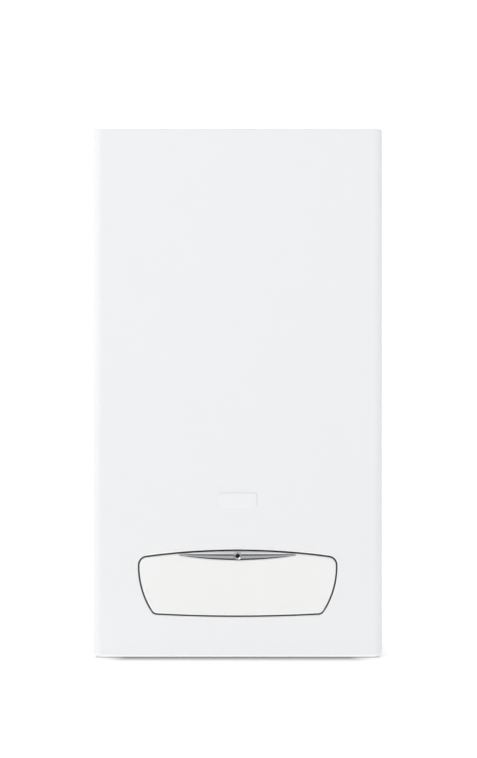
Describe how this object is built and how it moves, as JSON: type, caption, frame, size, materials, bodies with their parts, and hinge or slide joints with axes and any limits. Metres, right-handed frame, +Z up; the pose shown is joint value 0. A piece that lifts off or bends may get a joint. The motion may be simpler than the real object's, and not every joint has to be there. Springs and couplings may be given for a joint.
{
  "type": "wall-mounted gas boiler",
  "caption": "Slim white wall-hung gas boiler with an arched fold-down control flap, silver grip, lift-off casing and full inner works.",
  "frame": {"origin": "middle of the hanging bracket's rear face, on the wall", "axes": "+X to the right seen from the front, +Y into the wall (the front faces -Y), +Z up"},
  "size_m": [0.4, 0.3016, 0.738],
  "materials": {
    "enamel": "smooth semi-gloss white",
    "white_plastic": "smooth white moulding",
    "silver": "silver, satin",
    "smoked_lens": "black, glossy",
    "zinc_steel": "zinc-coated sheet",
    "rubber": "black, matte",
    "aluminium": "as cast and rolled",
    "clear_glass": "clear",
    "steel": "stainless and plated sheet",
    "ceramic": "off-white, fibrous",
    "copper": "drawn copper",
    "cast_iron": "dark painted casting",
    "brass": "raw brass",
    "red_paint": "red, semi-gloss",
    "red_plastic": "red, semi-gloss",
    "blue_plastic": "blue, semi-gloss",
    "silicone": "translucent beige",
    "grey_plastic": "light grey, fine grain",
    "dark_plastic": "dark grey, fine grain",
    "board_green": "green lacquered board"
  },
  "bodies": {
    "root": {"display_window": "smoked_lens", "wall_bracket": "zinc_steel", "back_frame": "zinc_steel", "top_panel": "zinc_steel", "connection_plate": "zinc_steel", "chamber_box": "zinc_steel", "chamber_gasket": "rubber", "chamber_cover": "aluminium", "burner_manifold": "aluminium", "fan_housing": "aluminium", "flue_collar": "aluminium", "air_intake_ring": "aluminium", "gas_valve": "aluminium", "sight_glass": "clear_glass", "gauge_glass": "clear_glass", "combustion_chamber": "steel", "burner": "steel", "flue_hood": "steel", "plate_heat_exchanger": "steel", "gas_inlet_pipe": "steel", "chamber_insulation": "ceramic", "ignition_electrode": "ceramic", "sensing_electrode": "ceramic", "heat_exchanger": "copper", "flow_pipe": "copper", "return_pipe": "copper", "hot_water_pipe": "copper", "fan_motor": "cast_iron", "pump_body": "cast_iron", "pump_motor": "cast_iron", "air_vent": "brass", "return_group": "brass", "cold_water_group": "brass", "diverter_valve": "brass", "expansion_vessel": "red_paint", "pressure_tube": "silicone", "air_pressure_switch": "grey_plastic", "control_fascia": "grey_plastic", "diverter_actuator": "dark_plastic", "control_box": "dark_plastic", "cable_gland": "dark_plastic", "gauge_body": "dark_plastic", "circuit_board": "board_green"},
    "casing": {"front_casing": "enamel", "badge_plate": "white_plastic", "flap_hinge_left": "zinc_steel", "flap_hinge_right": "zinc_steel", "flap_catch": "grey_plastic"},
    "flap": {"control_flap": "white_plastic", "flap_grip": "silver", "status_lens": "smoked_lens"},
    "fan_rotor": {"fan_impeller": "steel"},
    "pump_rotor": {"pump_impeller": "grey_plastic"},
    "relief_handle": {"relief_knob": "red_plastic"},
    "filling_handle": {"filling_knob": "blue_plastic"},
    "heating_dial": {"heating_knob": "dark_plastic"},
    "hot_water_dial": {"hot_water_knob": "dark_plastic"},
    "power_rocker": {"power_switch": "dark_plastic"},
    "reset_plunger": {"reset_button": "red_plastic"},
    "gauge_pointer": {"gauge_needle": "red_plastic"}
  },
  "joints": [
    {"name": "casing_lift", "type": "slide", "parent": "root", "child": "casing", "axis": [0, -0.7071, 0.7071], "range_m": [0, 0.4]},
    {"name": "flap_turn", "type": "hinge", "parent": "casing", "child": "flap", "pos_m": [0, -0.2965, -0.5939], "axis": [1, 0, 0], "range_deg": [0, 85]},
    {"name": "fan_spin", "type": "hinge", "parent": "root", "child": "fan_rotor", "pos_m": [-0.04101, -0.19, -0.03509], "axis": [0, 1, 0], "continuous": true},
    {"name": "pump_spin", "type": "hinge", "parent": "root", "child": "pump_rotor", "pos_m": [0.12, -0.1, -0.508], "axis": [0, 1, 0], "continuous": true},
    {"name": "relief_turn", "type": "hinge", "parent": "root", "child": "relief_handle", "pos_m": [0.165, -0.086, -0.584], "axis": [1, 0, 0], "range_deg": [0, 90]},
    {"name": "filling_turn", "type": "hinge", "parent": "root", "child": "filling_handle", "pos_m": [0.06, -0.125, -0.596], "axis": [0, -1, 0], "range_deg": [0, 90]},
    {"name": "heating_turn", "type": "hinge", "parent": "root", "child": "heating_dial", "pos_m": [-0.088, -0.27, -0.558], "axis": [0, -1, 0], "range_deg": [-135, 135]},
    {"name": "hot_water_turn", "type": "hinge", "parent": "root", "child": "hot_water_dial", "pos_m": [-0.036, -0.27, -0.558], "axis": [0, -1, 0], "range_deg": [-135, 135]},
    {"name": "power_rock", "type": "hinge", "parent": "root", "child": "power_rocker", "pos_m": [0.017, -0.2604, -0.574], "axis": [1, 0, 0], "range_deg": [-5, 5]},
    {"name": "reset_press", "type": "slide", "parent": "root", "child": "reset_plunger", "axis": [0, 1, 0], "range_m": [0, 0.003], "stiffness_N_per_m": 300, "springref_m": -0.001},
    {"name": "gauge_turn", "type": "hinge", "parent": "root", "child": "gauge_pointer", "pos_m": [0.092, -0.265, -0.558], "axis": [0, -1, 0], "range_deg": [-135, 135]}
  ]
}
